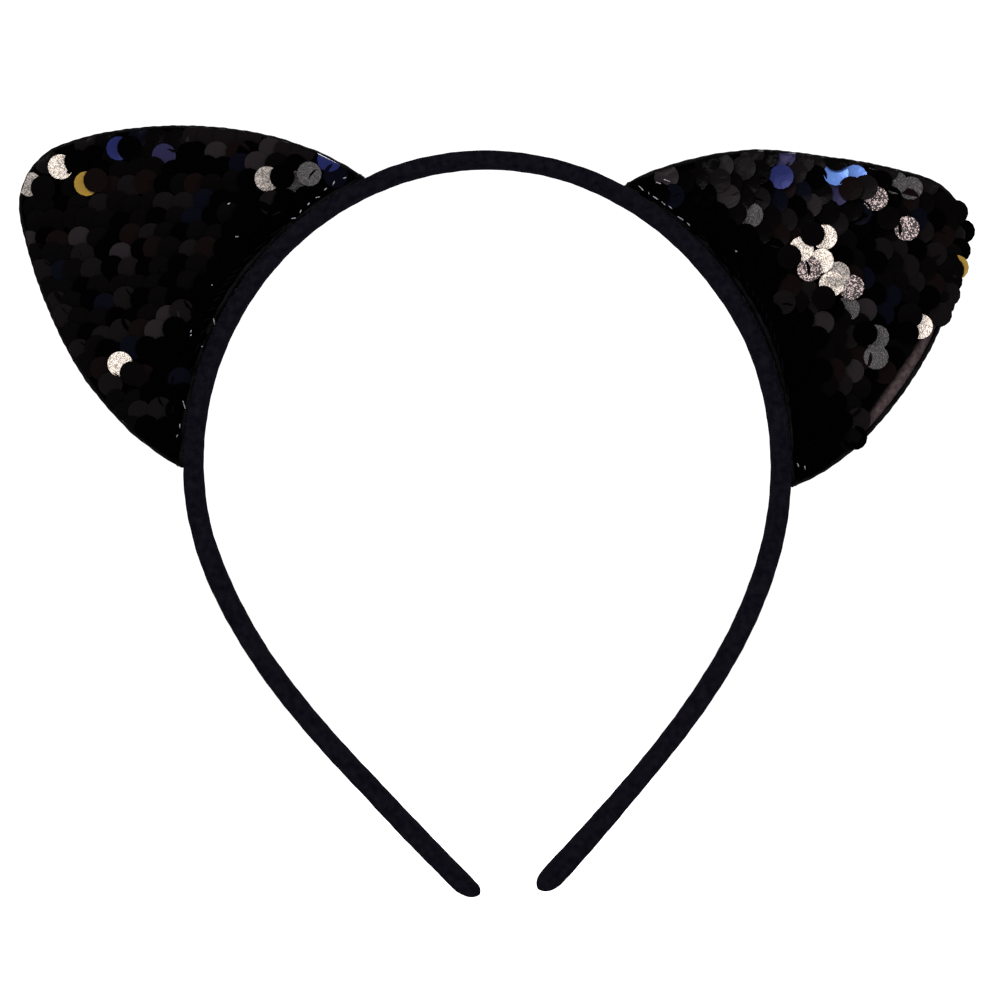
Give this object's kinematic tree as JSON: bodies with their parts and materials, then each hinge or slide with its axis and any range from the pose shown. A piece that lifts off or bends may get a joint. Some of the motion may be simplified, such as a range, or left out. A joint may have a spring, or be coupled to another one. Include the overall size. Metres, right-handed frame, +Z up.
{
  "type": "animal ears headband",
  "caption": "Springy fabric-covered hoop headband with two soft sequined cat ears, for costume wear.",
  "frame": {"origin": "the point on the hoop's inner surface at the top of the head, midway front to back", "axes": "+X across the head towards the right ear as seen from the front, +Y towards the back of the head, +Z up"},
  "size_m": [0.1984, 0.0082, 0.1597],
  "materials": {
    "hoop_plastic": "moulded",
    "hoop_fabric": "matt satin",
    "felt": "felt",
    "base_cloth": "knit",
    "black_sequin": "glossy",
    "silver_sequin": "glitter",
    "wire": "drawn",
    "thread": "spun thread",
    "glue": "dried clear glue"
  },
  "bodies": {
    "crown": {"crown_core": "hoop_plastic", "crown_sleeve": "hoop_fabric", "left_ear_glue_bead": "glue", "right_ear_glue_bead": "glue"},
    "left_leg": {"left_leg_core": "hoop_plastic", "left_leg_sleeve": "hoop_fabric", "left_tip_cover": "hoop_fabric"},
    "left_ear": {"left_ear_filler": "felt", "left_ear_front_cloth": "base_cloth", "left_ear_back_cloth": "base_cloth", "left_ear_front_sequins": "black_sequin", "left_ear_back_sequins": "black_sequin", "left_ear_edge_wire": "wire", "left_ear_binding": "base_cloth", "left_ear_front_stitches": "thread", "left_ear_back_stitches": "thread"},
    "right_leg": {"right_leg_core": "hoop_plastic", "right_leg_sleeve": "hoop_fabric", "right_tip_cover": "hoop_fabric"},
    "right_ear": {"right_ear_filler": "felt", "right_ear_front_cloth": "base_cloth", "right_ear_back_cloth": "base_cloth", "right_ear_front_sequins": "black_sequin", "right_ear_back_sequins": "black_sequin", "right_ear_edge_wire": "wire", "right_ear_binding": "base_cloth", "right_ear_front_stitches": "thread", "right_ear_back_stitches": "thread"},
    "left_ear_flipped_sequin_1": {"left_ear_flipped_sequin_1": "silver_sequin"},
    "left_ear_flipped_sequin_2": {"left_ear_flipped_sequin_2": "silver_sequin"},
    "left_ear_flipped_sequin_3": {"left_ear_flipped_sequin_3": "silver_sequin"},
    "right_ear_flipped_sequin_1": {"right_ear_flipped_sequin_1": "silver_sequin"},
    "right_ear_flipped_sequin_2": {"right_ear_flipped_sequin_2": "silver_sequin"},
    "right_ear_flipped_sequin_3": {"right_ear_flipped_sequin_3": "silver_sequin"}
  },
  "joints": [
    {"name": "left_leg_flex", "type": "hinge", "parent": "crown", "child": "left_leg", "pos_m": [-0.06105, 0, -0.07202], "axis": [0, 1, 0], "range_deg": [-2, 25], "stiffness_Nm_per_rad": 0.25},
    {"name": "right_leg_flex", "type": "hinge", "parent": "crown", "child": "right_leg", "pos_m": [0.06105, 0, -0.07202], "axis": [0, -1, 0], "range_deg": [-2, 25], "stiffness_Nm_per_rad": 0.25},
    {"name": "left_ear_tilt", "type": "hinge", "parent": "crown", "child": "left_ear", "pos_m": [-0.05352, 0, -0.02716], "axis": [0.5225, 0, 0.8526], "range_deg": [-15, 15], "stiffness_Nm_per_rad": 0.03},
    {"name": "right_ear_tilt", "type": "hinge", "parent": "crown", "child": "right_ear", "pos_m": [0.05555, 0, -0.03069], "axis": [0.4695, 0, -0.8829], "range_deg": [-15, 15], "stiffness_Nm_per_rad": 0.03},
    {"name": "left_ear_sequin_flip_1", "type": "hinge", "parent": "left_ear", "child": "left_ear_flipped_sequin_1", "pos_m": [-0.08732, -0.00306, -0.00099], "axis": [0.5241, 0.0333, 0.851], "range_deg": [0, 150]},
    {"name": "left_ear_sequin_flip_2", "type": "hinge", "parent": "left_ear", "child": "left_ear_flipped_sequin_2", "pos_m": [-0.04406, -0.00328, -0.0035], "axis": [0.5223, 0.0591, 0.8507], "range_deg": [0, 150]},
    {"name": "left_ear_sequin_flip_3", "type": "hinge", "parent": "left_ear", "child": "left_ear_flipped_sequin_3", "pos_m": [-0.07479, -0.00326, -0.04221], "axis": [0.5203, -0.0632, 0.8517], "range_deg": [0, 150]},
    {"name": "right_ear_sequin_flip_1", "type": "hinge", "parent": "right_ear", "child": "right_ear_flipped_sequin_1", "pos_m": [0.06857, -0.00384, -0.01564], "axis": [0.4697, -0.0262, -0.8824], "range_deg": [0, 150]},
    {"name": "right_ear_sequin_flip_2", "type": "hinge", "parent": "right_ear", "child": "right_ear_flipped_sequin_2", "pos_m": [0.08867, -0.00306, -0.03424], "axis": [0.4651, 0.0698, -0.8825], "range_deg": [0, 150]},
    {"name": "right_ear_sequin_flip_3", "type": "hinge", "parent": "right_ear", "child": "right_ear_flipped_sequin_3", "pos_m": [0.07003, -0.00393, -0.02541], "axis": [0.4694, 0.0069, -0.8829], "range_deg": [0, 150]}
  ]
}
